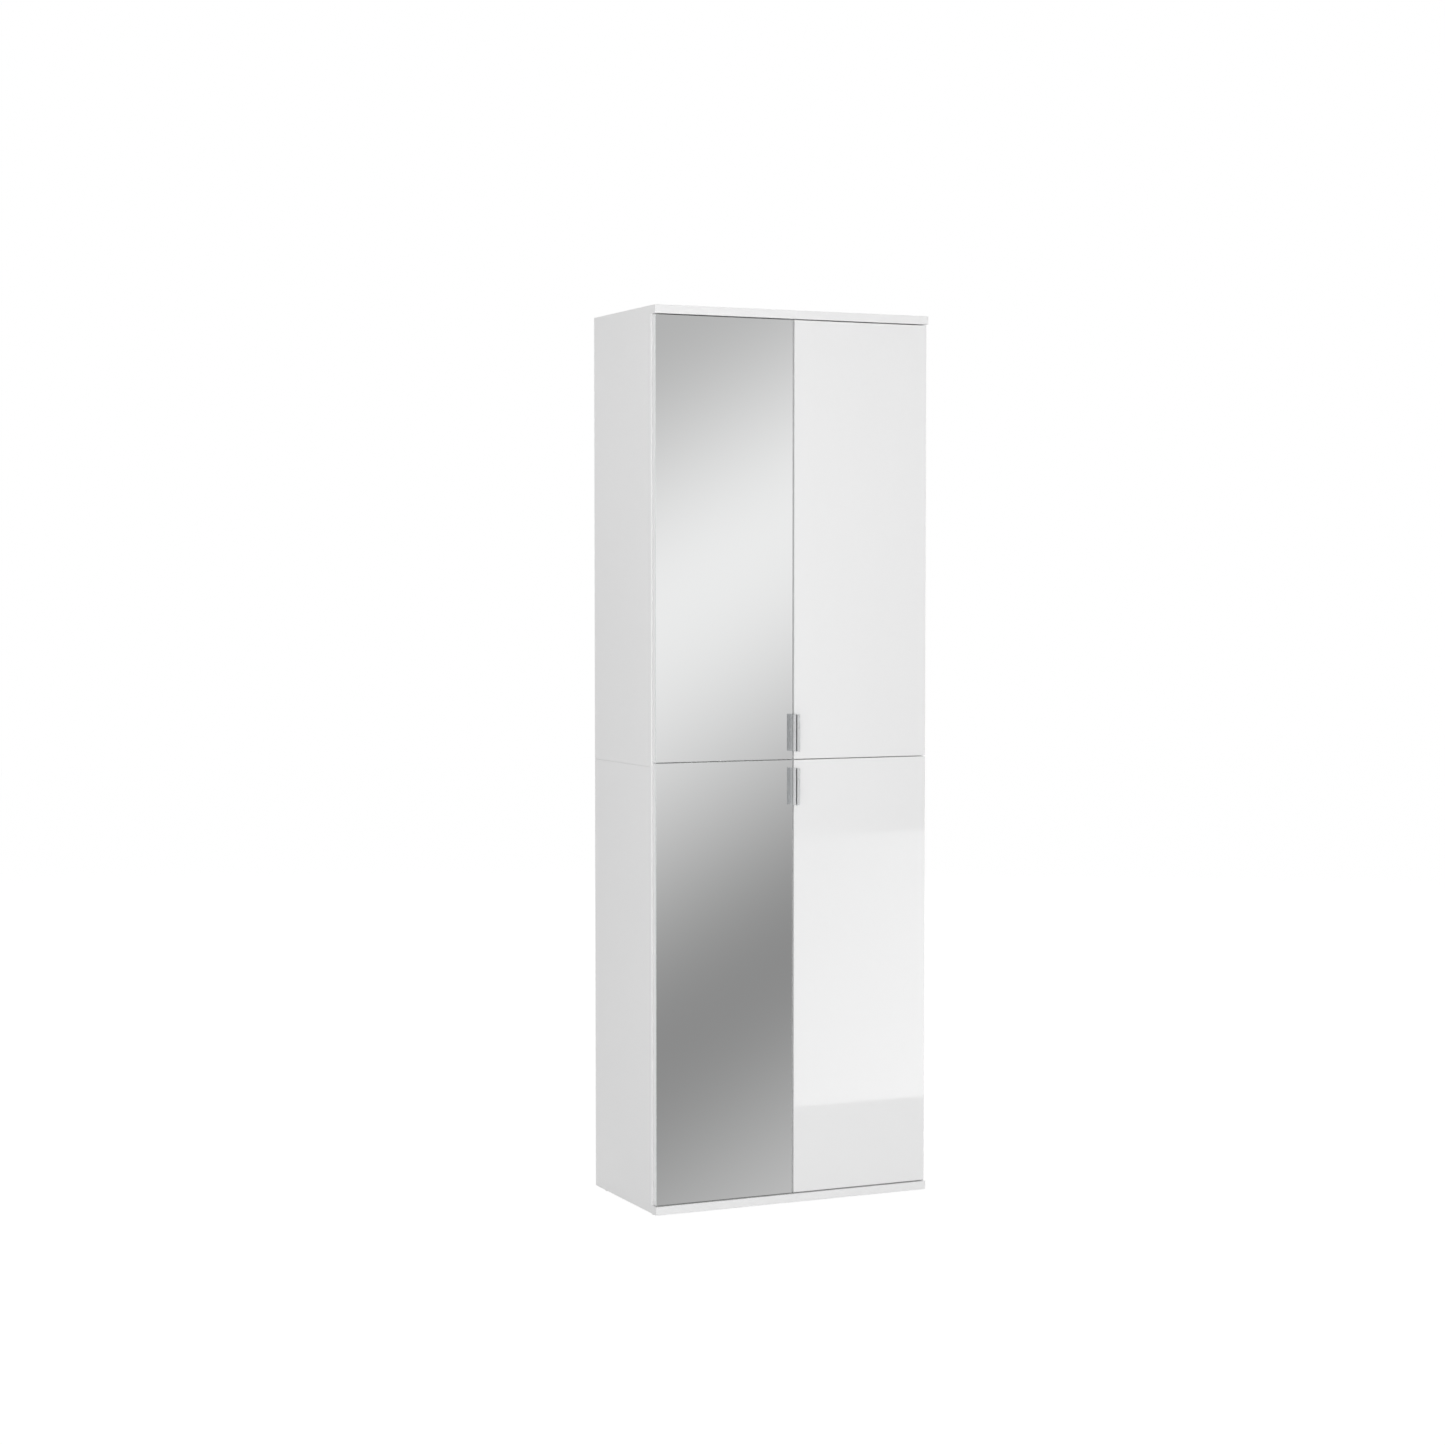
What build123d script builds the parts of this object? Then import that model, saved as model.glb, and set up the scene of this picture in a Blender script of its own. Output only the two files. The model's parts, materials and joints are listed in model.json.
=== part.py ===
from build123d import *
import os
from math import hypot, radians, sqrt, tan

# Two-column armoire: mirror doors on the left, gloss doors on the right.
# Millimetres, +Z up, the front faces -Y. The origin is on the floor, below the middle of the whole box.
# The left column is modelled and the right one is its mirror image.

# Carcass
WIDTH = 650.0             # both columns together
DEPTH = 342.0             # top and bottom panels, front to back
HEIGHT = 1930.0           # floor to the top face
PANEL_T = 18.0            # top, mid and bottom panels
SIDE_T = 16.0
EDGE_BREAK = 0.6          # small chamfer on the edges that show
SEAM_DEPTH = 1.2          # groove where the lower and upper outer sides meet
SEAM_HALF = 0.3           # half the width of that groove
BACK_T = 3.0
BACK_INSET = 12.0         # rear edge of the sides to the back board
GROOVE_DEPTH = 6.0
BACK_SLACK = 0.5          # back board's edges to the ends of its grooves
BACK_FIT = 0.2            # back board's faces to the sides of its grooves

# Shelves and pegs
SHELF_T = 16.0
SHELF_SETBACK = 12.0      # shelf front behind the sides' front edge
SHELF_END_FIT = 0.75
SHELF_BACK_FIT = 2.0
PEG_R = 2.4
PEG_IN = 8.0
PEG_SHOULDER_R = 2.9
PEG_OUT = 7.5
PEG_FROM_FRONT = 50.0
PEG_FROM_BACK = 60.0
HOLE_PITCH = 32.0
HOLE_FIT = 0.25           # loose hardware in its holes
HOLE_END = 0.5            # free depth past the end of a peg, dowel or screw

# Doors
DOOR_T = 16.0
DOOR_GAP = 2.0            # above, between and below the doors
OUTER_REVEAL = 2.0        # door edge in from the outer face
CENTRE_GAP = 4.0          # between the left and right doors
DOOR_RECESS = 4.5         # door front behind the panels' front edges
DOOR_STANDOFF = 3.0       # door back to the sides' front edges
MIRROR_T = 3.0
MIRROR_INSET = 0.25
GLASS_ARRIS = 0.3         # ground edge round the front of a mirror

# Edge pulls
PULL_LENGTH = 80.0
PULL_FROM_END = 17.0      # from the door end at the middle of the cabinet
PULL_REACH = 17.0         # in front of the door
PULL_T = 1.0
PULL_LIP = 6.5
PULL_FLANGE = 20.0
PULL_BEND_R = 1.2
PULL_SCREW_PITCH = 56.0
PULL_SCREW_LENGTH = 10.0

# Cup hinges
HINGE_FROM_END = 95.0
CUP_R = 17.5
CUP_EDGE = 3.0            # door edge to the rim of the cup hole
CUP_DEPTH = 10.8
CUP_FIT = 0.2
CUP_WALL = 0.8
FLANGE_LIP = 1.0
FLANGE_T = 1.2
EAR_SPAN = 62.0
EAR_WIDTH = 14.0
EAR_OFFSET = 6.0
POST_PITCH = 48.0
POST_R = 4.0
POST_LENGTH = 8.0
HINGE_PIN_R = 1.1
HINGE_PIN_LENGTH = 16.0
PIN_RUNNING_FIT = 0.06
PIN_PRESS_FIT = 0.05
EYE_R = 1.9
EYE_WIDTH = 7.0
EYE_CLEARANCE = 0.3
ARM_T = 2.8
ARM_SLOPE = 3.0           # degrees, so that the door can pass square
ARM_CLEARANCE = 0.5
ARM_WIDTH = 14.0
ARM_HEIGHT = 9.0
ARM_WALL = 1.5
ARM_LENGTH = 52.0
ARM_EDGE_R = 2.0
ARM_SCREW_FRONT = 25.0    # sides' front edge to the screw that sets the door sideways
ARM_SCREW_REAR = 44.0     # and to the one that holds the arm on its plate
ARM_SCREW_LENGTH = 7.0
NOSE_LENGTH = 6.0
PLATE_BACKSET = 37.0      # sides' front edge to the plate's screw line
PLATE_LENGTH = 36.0
PLATE_WIDTH = 20.0
WING_SPAN = 46.0
WING_WIDTH = 12.0
PLATE_SCREW_PITCH = 32.0
PLATE_UNDER_ARM = 0.4
RAIL_FIT = 0.3

# Fittings in the boards
CAM_R = 7.25
CAM_HEIGHT = 12.0
CAM_BACKSET = 24.0
CAM_FROM_FRONT = 70.0
CAM_FROM_BACK = 80.0
BOLT_R = 2.2
BOLT_HEAD_R = 3.0
BOLT_HEAD_L = 3.0
BOLT_THREAD_R = 2.6
BOLT_THREAD_L = 11.0
BOLT_HOLE_R = 3.6
DOWEL_R = 3.9
DOWEL_LENGTH = 30.0
DOWEL_IN_FACE = 11.0      # of a dowel's length, where it enters a board's face
SEAM_DOWEL_INSET = 25.0
SCREW_R = 1.75
SCREW_HEAD_R = 3.6
SCREW_HEAD_H = 1.8
SCREW_LENGTH = 12.5
FLUSH_R = 1.5             # small screws with a sunk head
FLUSH_HEAD_R = 2.9
BRACKET_LEG = 30.0
BRACKET_WIDTH = 15.0
BRACKET_T = 2.0
BRACKET_BEND_R = 1.5
BRACKET_CORNER_R = 3.0
BRACKET_HOLE = 20.0       # bend to the screw
BRACKET_INSET = 110.0     # front and back edges to the seam brackets
CONNECTOR_R = 2.9
CONNECTOR_HEAD_R = 6.5
CONNECTOR_HEAD_H = 1.6
CONNECTOR_FROM_END = 160.0
CONNECTOR_INSET = 90.0
WALL_BRACKET_WIDTH = 40.0
WALL_BRACKET_LEG = 40.0
WALL_BRACKET_FOOT = 30.0
WALL_HOLE_R = 2.75
WALL_HOLE_DROP = 25.0     # top panel's underside to the wall screw
WALL_HOLE_ROOM = 1.0      # back board's hole round the wall screw
WALL_SCREW_PITCH = 24.0
GLIDE_HEIGHT = 3.0
GLIDE_R = 11.0
GLIDE_INSET = 13.0
GLIDE_FROM_FRONT = 28.0
GLIDE_FROM_BACK = 52.0
GLIDE_NAIL_R = 1.2
GLIDE_NAIL_L = 12.0
BUMPER_R = 4.0
BUMPER_FIT = 0.3          # closed door to the bumper
BUMPER_FROM_END = 40.0
BUMPER_PAST_PULL = 20.0

FRONT = (0, -1, 0)
BACK = (0, 1, 0)
LEFT = (-1, 0, 0)
RIGHT = (1, 0, 0)
UP = (0, 0, 1)
DOWN = (0, 0, -1)

# Planes across the width, left column
outer_face = -WIDTH / 2
outer_inside = outer_face + SIDE_T
inner_inside = -SIDE_T
joint_face = 0.0
column_middle = (outer_face + joint_face) / 2

# Planes from front to back
pull_overhang = PULL_REACH - DOOR_RECESS
panel_front = -(DEPTH + pull_overhang) / 2 + pull_overhang
panel_back = panel_front + DEPTH
door_front = panel_front + DOOR_RECESS
door_back = door_front + DOOR_T
side_front = door_back + DOOR_STANDOFF
back_rear = panel_back - BACK_INSET
back_front = back_rear - BACK_T
side_middle = (side_front + back_front) / 2

# Heights
bottom_under = GLIDE_HEIGHT
bottom_top = bottom_under + PANEL_T
top_under = HEIGHT - PANEL_T
door_height = (top_under - bottom_top - 3 * DOOR_GAP) / 2
lower_door = (bottom_top + DOOR_GAP, bottom_top + DOOR_GAP + door_height)
upper_door = (lower_door[1] + DOOR_GAP, lower_door[1] + DOOR_GAP + door_height)
seam = lower_door[1] + DOOR_GAP / 2 - PANEL_T / 2
mid_top = seam + PANEL_T
mid_centre = seam + PANEL_T / 2
DOORS = {"lower": lower_door, "upper": upper_door}
COMPARTMENTS = {"lower": (bottom_top, seam), "upper": (mid_top, top_under)}

# Door edges, left column
door_outer = outer_face + OUTER_REVEAL
door_free = joint_face - CENTRE_GAP / 2

# Hinge layout, measured from the outer side's front outer corner
cup_x = OUTER_REVEAL + CUP_EDGE + CUP_R
cup_mouth = -DOOR_STANDOFF
cup_shell_r = CUP_R - CUP_FIT
cup_inner_r = cup_shell_r - CUP_WALL
cup_shell_depth = CUP_DEPTH - CUP_FIT
pivot_x = cup_x - sqrt(cup_inner_r ** 2 - (EYE_WIDTH / 2) ** 2) + EYE_R + EYE_CLEARANCE
pivot_depth = cup_shell_depth - CUP_WALL - EYE_R - ARM_CLEARANCE
pivot_y = cup_mouth - pivot_depth
rim_reach = hypot(pivot_x - OUTER_REVEAL, pivot_depth)
arm_x = pivot_x + rim_reach + ARM_CLEARANCE
plate_t = arm_x - SIDE_T - PLATE_UNDER_ARM


# Basic shapes
def board(x0, x1, y0, y1, z0, z1):
    middle = Pos((x0 + x1) / 2, (y0 + y1) / 2, (z0 + z1) / 2)
    return middle * Box(x1 - x0, y1 - y0, z1 - z0)


def rod(radius, length, start, direction):
    return Solid.make_cylinder(radius, length, Plane(origin=start, z_dir=direction))


def shifted(point, direction, distance):
    return tuple(p + distance * d for p, d in zip(point, direction))


def front_edges(shape):
    # The four edges round a board's front face.
    return shape.faces().sort_by(Axis.Y)[0].edges()


def mirrored(shape):
    return mirror(shape, about=Plane.YZ)


# Where the fittings sit
cam_rows = (side_front + CAM_FROM_FRONT, panel_back - CAM_FROM_BACK)
seam_dowel_rows = (side_front + SEAM_DOWEL_INSET, back_front - SEAM_DOWEL_INSET)
bracket_rows = (side_front + BRACKET_INSET, panel_back - BRACKET_INSET)
connector_rows = (side_front + CONNECTOR_INSET, panel_back - CONNECTOR_INSET)
dowel_in_end = DOWEL_LENGTH - DOWEL_IN_FACE
peg_rows = (side_front + PEG_FROM_FRONT, panel_back - PEG_FROM_BACK)


def shelf_undersides(level):
    floor, ceiling = COMPARTMENTS[level]
    space = (ceiling - floor - 2 * SHELF_T) / 3
    return {"low": floor + space, "high": floor + 2 * space + SHELF_T}


def hinge_heights(level):
    low, high = DOORS[level]
    return (low + HINGE_FROM_END, high - HINGE_FROM_END)


def connector_heights(level):
    floor, ceiling = COMPARTMENTS[level]
    return (floor + CONNECTOR_FROM_END, ceiling - CONNECTOR_FROM_END)


def at_hinge(height):
    return Pos(outer_face, side_front, height)


# Fittings that repeat
def cam_lock(centre, into, towards_bolt, board_t):
    # A round cam, flush with the board's face, slotted for the bolt's head.
    drum = rod(CAM_R, CAM_HEIGHT, centre, into)
    axis_point = shifted(centre, into, board_t / 2)
    slot_start = shifted(axis_point, towards_bolt, -BOLT_HEAD_L)
    slot = rod(BOLT_HEAD_R + HOLE_FIT, CAM_R + 2 * BOLT_HEAD_L, slot_start, towards_bolt)
    return drum - slot


def cam_bolt(start, towards_cam):
    away = tuple(-d for d in towards_cam)
    thread = rod(BOLT_THREAD_R, BOLT_THREAD_L, start, away)
    shank = rod(BOLT_R, CAM_BACKSET, start, towards_cam)
    head_start = shifted(start, towards_cam, CAM_BACKSET - BOLT_HEAD_L / 2)
    return thread + shank + rod(BOLT_HEAD_R, BOLT_HEAD_L, head_start, towards_cam)


def cam_cuts(centre, into, mouth, towards_cam):
    # The cam's pocket in the board's face and the bolt's hole from its edge.
    pocket = rod(CAM_R + HOLE_FIT, CAM_HEIGHT + HOLE_END, centre, into)
    return [pocket, rod(BOLT_HOLE_R, CAM_BACKSET, mouth, towards_cam)]


def thread_hole(start, into):
    return rod(BOLT_THREAD_R + HOLE_FIT, BOLT_THREAD_L + HOLE_END, start, into)


def dowel_hole(start, into, depth):
    return rod(DOWEL_R + HOLE_FIT, depth + HOLE_END, start, into)


def dowel(joint, into, depth):
    # Stands in a board to the given depth past the joint, and the rest is in the other board.
    return rod(DOWEL_R, DOWEL_LENGTH, shifted(joint, into, depth - DOWEL_LENGTH), into)


def screw(seat, into):
    out = tuple(-d for d in into)
    return rod(SCREW_HEAD_R, SCREW_HEAD_H, seat, out) + rod(SCREW_R, SCREW_LENGTH, seat, into)


def screw_hole(seat, into):
    return rod(SCREW_R + HOLE_FIT, SCREW_LENGTH + HOLE_END, seat, into)


def flush_screw(seat, into, sheet_t, length, extra=0.0):
    # Its cone head fills a sheet from face to face, and the extra makes the hole for it.
    head_plane = Plane(origin=seat, z_dir=into)
    head = Solid.make_cone(FLUSH_HEAD_R + extra, FLUSH_R + extra, sheet_t, head_plane)
    return head + rod(FLUSH_R + extra, length + extra, seat, into)


# Side boards. place is outer or inner, level is lower or upper.
def side_faces(place):
    if place == "outer":
        return outer_face, outer_inside, outer_inside, LEFT
    return inner_inside, joint_face, inner_inside, RIGHT


def side_board(place, level):
    x0, x1, face, into = side_faces(place)
    middle = (x0 + x1) / 2
    z0, z1 = (bottom_top, seam) if level == "lower" else (seam, top_under)
    panel_end, to_cam = (z0, UP) if level == "lower" else (z1, DOWN)
    to_board = DOWN if level == "lower" else UP
    groove_floor = shifted((face, 0, 0), into, GROOVE_DEPTH)[0]
    groove_x = sorted((face, groove_floor))
    cuts = [board(*groove_x, back_front - BACK_FIT, back_rear + BACK_FIT, z0, z1)]
    for y in cam_rows:
        mouth = (middle, y, panel_end)
        centre = (face, y, shifted(mouth, to_cam, CAM_BACKSET)[2])
        cuts += cam_cuts(centre, into, mouth, to_cam)
    cuts.append(dowel_hole((middle, side_middle, panel_end), to_cam, dowel_in_end))
    for y in seam_dowel_rows:
        cuts.append(dowel_hole((middle, y, seam), to_board, DOWEL_LENGTH / 2))
    for underside in shelf_undersides(level).values():
        for step in (-1, 0, 1):
            for y in peg_rows:
                peg = (face, y, underside - PEG_SHOULDER_R + step * HOLE_PITCH)
                cuts.append(rod(PEG_R + HOLE_FIT, PEG_IN + HOLE_END, peg, into))
    if level == "upper":
        for y in cam_rows:
            cuts.append(thread_hole((face, y, mid_centre), into))
        cuts.append(dowel_hole((face, side_middle, mid_centre), into, DOWEL_IN_FACE))
    else:
        for y in bracket_rows:
            cuts.append(screw_hole(bracket_seats(place, y)["side"], into))
    if place == "outer":
        for height in hinge_heights(level):
            cuts += [at_hinge(height) * screw_hole(seat, LEFT) for seat in plate_screw_seats()]
    else:
        for height in connector_heights(level):
            for y in connector_rows:
                cuts.append(rod(CONNECTOR_R + HOLE_FIT, SIDE_T, (face, y, height), into))
    blank = board(x0, x1, side_front, panel_back, z0, z1)
    if place == "outer":
        seam_edge = blank.edges().sort_by_distance((outer_face, side_middle, seam))[0]
        seam_end = blank.faces().sort_by_distance((middle, side_middle, seam))[0]
        blank = chamfer(seam_edge, SEAM_DEPTH, SEAM_HALF, reference=seam_end)
    return chamfer(front_edges(blank).filter_by(Axis.Z), EDGE_BREAK) - cuts


# Top, bottom and mid panels, backs and shelves
def end_panel(level):
    # The top and bottom panels cover the ends of the sides and stand proud of the doors.
    z0, z1 = (bottom_under, bottom_top) if level == "lower" else (top_under, HEIGHT)
    face, into = (bottom_top, DOWN) if level == "lower" else (top_under, UP)
    blank = board(outer_face, joint_face, panel_front, panel_back, z0, z1)
    blank = chamfer(front_edges(blank), EDGE_BREAK)
    groove_end = shifted((0, 0, face), into, GROOVE_DEPTH)[2]
    groove_z = sorted((face, groove_end))
    groove_x = (outer_inside - GROOVE_DEPTH, inner_inside + GROOVE_DEPTH)
    cuts = [board(*groove_x, back_front - BACK_FIT, back_rear + BACK_FIT, *groove_z)]
    for place in ("outer", "inner"):
        x0, x1, _, _ = side_faces(place)
        middle = (x0 + x1) / 2
        for y in cam_rows:
            cuts.append(thread_hole((middle, y, face), into))
        cuts.append(dowel_hole((middle, side_middle, face), into, DOWEL_IN_FACE))
    if level == "lower":
        for spot in glide_spots():
            cuts.append(rod(GLIDE_NAIL_R + HOLE_FIT, GLIDE_NAIL_L + HOLE_END, spot, UP))
    else:
        cuts += [screw_hole(seat, UP) for seat in wall_bracket_screw_seats()]
    return blank - cuts


def mid_panel():
    cuts = []
    for place in ("outer", "inner"):
        _, _, face, into = side_faces(place)
        out = tuple(-d for d in into)
        for y in cam_rows:
            mouth = (face, y, mid_centre)
            centre = shifted((face, y, seam), out, CAM_BACKSET)
            cuts += cam_cuts(centre, UP, mouth, out)
        cuts.append(dowel_hole((face, side_middle, mid_centre), out, dowel_in_end))
        for y in bracket_rows:
            cuts.append(screw_hole(bracket_seats(place, y)["panel"], UP))
    rear = back_front - BACK_FIT
    blank = board(outer_inside, inner_inside, side_front, rear, seam, mid_top)
    return chamfer(front_edges(blank).filter_by(Axis.X), EDGE_BREAK) - cuts


def back_board(level):
    edge = GROOVE_DEPTH - BACK_SLACK
    x0, x1 = outer_inside - edge, inner_inside + edge
    if level == "lower":
        return board(x0, x1, back_front, back_rear, bottom_top - edge, seam - BACK_SLACK)
    sheet = board(x0, x1, back_front, back_rear, seam + BACK_SLACK, top_under + edge)
    return sheet - rod(WALL_HOLE_R + WALL_HOLE_ROOM, BACK_T, wall_hole(back_front), BACK)


def shelf(underside):
    x0, x1 = outer_inside + SHELF_END_FIT, inner_inside - SHELF_END_FIT
    y0, y1 = side_front + SHELF_SETBACK, back_front - SHELF_BACK_FIT
    blank = board(x0, x1, y0, y1, underside, underside + SHELF_T)
    return chamfer(front_edges(blank), EDGE_BREAK)


# Pegs under one shelf
def shelf_pegs(underside):
    pegs = []
    for place in ("outer", "inner"):
        _, _, face, into = side_faces(place)
        out = tuple(-d for d in into)
        for y in peg_rows:
            start = (face, y, underside - PEG_SHOULDER_R)
            pegs.append(rod(PEG_R, PEG_IN, start, into) + rod(PEG_SHOULDER_R, PEG_OUT, start, out))
    return pegs


# Sheet metal: a round in the bend and on the corners of both legs
def bent_sheet(angle, inside_bend):
    bend = angle.edges().sort_by_distance(inside_bend)[0]
    angle = fillet(bend, BRACKET_BEND_R)
    corners = [e for e in angle.edges() if abs(e.length - BRACKET_T) < BRACKET_T / 100]
    return fillet(corners, BRACKET_CORNER_R)


# Angle brackets between the mid panel and the lower sides
def bracket_seats(place, y):
    # Where the two screws of a bracket bear on its legs.
    _, _, face, into = side_faces(place)
    out = tuple(-d for d in into)
    side_seat = shifted((face, y, seam - BRACKET_HOLE), out, BRACKET_T)
    panel_seat = shifted((face, y, seam - BRACKET_T), out, BRACKET_HOLE)
    return {"side": side_seat, "panel": panel_seat}


def seam_bracket(place, y):
    _, _, face, into = side_faces(place)
    out = tuple(-d for d in into)
    y0, y1 = y - BRACKET_WIDTH / 2, y + BRACKET_WIDTH / 2
    end = shifted((face, 0, 0), out, BRACKET_LEG)[0]
    wall = shifted((face, 0, 0), out, BRACKET_T)[0]
    flat = board(*sorted((face, end)), y0, y1, seam - BRACKET_T, seam)
    drop = board(*sorted((face, wall)), y0, y1, seam - BRACKET_LEG, seam)
    angle = bent_sheet(flat + drop, (wall, y, seam - BRACKET_T))
    seats = bracket_seats(place, y)
    return angle - [screw_hole(seats["side"], into), screw_hole(seats["panel"], UP)]


# Wall bracket under the top panel, against the back board
def wall_hole(y):
    return (column_middle, y, top_under - WALL_HOLE_DROP)


def wall_bracket_screw_seats():
    y = back_front - WALL_BRACKET_FOOT / 2
    offsets = (-WALL_SCREW_PITCH / 2, WALL_SCREW_PITCH / 2)
    return [(column_middle + dx, y, top_under - BRACKET_T) for dx in offsets]


def wall_bracket():
    x0, x1 = column_middle - WALL_BRACKET_WIDTH / 2, column_middle + WALL_BRACKET_WIDTH / 2
    foot = board(x0, x1, back_front - WALL_BRACKET_FOOT, back_front, top_under - BRACKET_T, top_under)
    plate = board(x0, x1, back_front - BRACKET_T, back_front, top_under - WALL_BRACKET_LEG, top_under)
    cuts = [rod(WALL_HOLE_R, BRACKET_T, wall_hole(back_front - BRACKET_T), BACK)]
    cuts += [screw_hole(seat, UP) for seat in wall_bracket_screw_seats()]
    inside_bend = (column_middle, back_front - BRACKET_T, top_under - BRACKET_T)
    return bent_sheet(foot + plate, inside_bend) - cuts


# Floor glides
def glide_spots():
    xs = (outer_face + GLIDE_INSET, joint_face - GLIDE_INSET)
    ys = (panel_front + GLIDE_FROM_FRONT, panel_back - GLIDE_FROM_BACK)
    return [(x, y, bottom_under) for x in xs for y in ys]


def floor_glide(spot):
    foot = rod(GLIDE_R, GLIDE_HEIGHT, spot, DOWN)
    foot = chamfer(foot.edges().sort_by(Axis.Z)[0], GLIDE_HEIGHT / 3)
    return foot + rod(GLIDE_NAIL_R, GLIDE_NAIL_L, spot, UP)


# Cup hinge, left hand, in the hinge layout's own coordinates
def hinge_cup():
    mouth = (cup_x, cup_mouth, 0)
    shell = rod(cup_shell_r, cup_shell_depth, mouth, FRONT)
    flange = rod(CUP_R + FLANGE_LIP, FLANGE_T, mouth, BACK)
    ear_plane = Plane(origin=(cup_x + EAR_OFFSET, cup_mouth, 0), x_dir=UP, z_dir=BACK)
    ears = extrude(ear_plane * SlotOverall(EAR_SPAN, EAR_WIDTH), FLANGE_T)
    posts = [rod(POST_R, POST_LENGTH, spot, FRONT) for spot in post_spots()]
    rim = (cup_x, cup_mouth + FLANGE_T, 0)
    hollow = rod(cup_inner_r, cup_shell_depth - CUP_WALL + FLANGE_T, rim, FRONT)
    lugs = [lug & shell for lug in pin_lugs()]
    return (shell + flange + ears + posts - hollow) + lugs - hinge_pin(PIN_PRESS_FIT)


def pin_lugs():
    # Two cheeks that stand on the cup's floor and carry the pin, one each side of the arm's eye.
    floor = cup_mouth - cup_shell_depth
    z0, z1 = EYE_WIDTH / 2 + EYE_CLEARANCE, cup_shell_r
    lugs = []
    for z, way in ((z0, UP), (-z0, DOWN)):
        barrel = rod(EYE_R, z1 - z0, (pivot_x, pivot_y, z), way)
        z_end = shifted((0, 0, z), way, z1 - z0)[2]
        web = board(pivot_x - EYE_R, pivot_x + EYE_R, floor, pivot_y, *sorted((z, z_end)))
        lugs.append(barrel + web)
    return lugs


def post_spots():
    return [(cup_x + EAR_OFFSET, cup_mouth, s * POST_PITCH / 2) for s in (-1, 1)]


def hinge_pin(extra=0.0):
    start = (pivot_x, pivot_y, -HINGE_PIN_LENGTH / 2)
    return rod(HINGE_PIN_R + extra, HINGE_PIN_LENGTH, start, UP)


def hinge_arm():
    # A hooked finger reaches round the door's edge to the pin. It stays outside the rim's swing.
    knee_x = arm_x + ARM_T / 2
    knee_y = pivot_y - (knee_x - pivot_x) * tan(radians(ARM_SLOPE))
    eye = Pos(pivot_x, pivot_y) * Circle(EYE_R)
    knee = Pos(knee_x, knee_y) * Circle(ARM_T / 2)
    root = Pos(knee_x, NOSE_LENGTH / 2) * Circle(ARM_T / 2)
    finger = make_hull(eye.edges() + knee.edges())
    upright = make_hull(knee.edges() + root.edges())
    hook = extrude(finger + upright, EYE_WIDTH / 2, both=True)
    half = ARM_WIDTH / 2
    top = arm_x + ARM_HEIGHT
    body = board(arm_x, top, 0, ARM_LENGTH, -half, half)
    body = fillet(body.faces().sort_by(Axis.X)[-1].edges(), ARM_EDGE_R)
    channel = board(arm_x, top - ARM_WALL, NOSE_LENGTH, ARM_LENGTH, ARM_WALL - half, half - ARM_WALL)
    cuts = [channel, hinge_pin(PIN_RUNNING_FIT)]
    cuts += [arm_screw(seat, HOLE_FIT) for seat in arm_screw_seats()]
    return hook + body - cuts


def arm_screw_seats():
    return [(arm_x + ARM_HEIGHT, y, 0) for y in (ARM_SCREW_FRONT, ARM_SCREW_REAR)]


def arm_screw(seat, extra=0.0):
    return flush_screw(seat, LEFT, ARM_WALL, ARM_SCREW_LENGTH, extra)


def plate_screw_seats():
    offsets = (-PLATE_SCREW_PITCH / 2, PLATE_SCREW_PITCH / 2)
    return [(SIDE_T + plate_t, PLATE_BACKSET, dz) for dz in offsets]


def hinge_plate():
    # A winged plate on the side board, with a rail that fills the arm's channel.
    x0, x1 = SIDE_T, SIDE_T + plate_t
    y0, y1 = PLATE_BACKSET - PLATE_LENGTH / 2, PLATE_BACKSET + PLATE_LENGTH / 2
    base = board(x0, x1, y0, y1, -PLATE_WIDTH / 2, PLATE_WIDTH / 2)
    wing_plane = Plane(origin=(x0, PLATE_BACKSET, 0), x_dir=UP, z_dir=RIGHT)
    wings = extrude(wing_plane * SlotOverall(WING_SPAN, WING_WIDTH), plate_t)
    half = ARM_WIDTH / 2 - ARM_WALL - RAIL_FIT
    rail = board(x0, arm_x + ARM_HEIGHT - ARM_WALL, y0, ARM_LENGTH - ARM_WALL, -half, half)
    cuts = [screw_hole(seat, LEFT) for seat in plate_screw_seats()]
    cuts += [arm_screw(seat, HOLE_FIT) for seat in arm_screw_seats()]
    return base + wings + rail - cuts


# Doors, left column. level is lower or upper, thickness is measured forward from the back face.
def pull_span(level):
    low, high = DOORS[level]
    if level == "lower":
        return high - PULL_FROM_END - PULL_LENGTH, high - PULL_FROM_END
    return low + PULL_FROM_END, low + PULL_FROM_END + PULL_LENGTH


def pull_screw_spots(level):
    middle = sum(pull_span(level)) / 2
    x = door_free - PULL_FLANGE / 2
    return [(x, door_back + PULL_T, middle + s * PULL_SCREW_PITCH / 2) for s in (-1, 1)]


def door_board(level, thickness):
    low, high = DOORS[level]
    blank = board(door_outer, door_free, door_back - thickness, door_back, low, high)
    blank = chamfer(front_edges(blank), EDGE_BREAK)
    cuts = []
    for height in hinge_heights(level):
        cup_hole = rod(CUP_R, CUP_DEPTH, (cup_x, cup_mouth, 0), FRONT)
        post_holes = [rod(POST_R + HOLE_FIT, POST_LENGTH + HOLE_END, p, FRONT) for p in post_spots()]
        cuts += [at_hinge(height) * hole for hole in [cup_hole] + post_holes]
    for spot in pull_screw_spots(level):
        cuts.append(pull_screw(spot, HOLE_FIT))
    return blank - cuts


def mirror_pane(level):
    low, high = DOORS[level]
    pane = board(
        door_outer + MIRROR_INSET, door_free - MIRROR_INSET,
        door_front, door_front + MIRROR_T,
        low + MIRROR_INSET, high - MIRROR_INSET,
    )
    return chamfer(front_edges(pane), GLASS_ARRIS)


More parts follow.
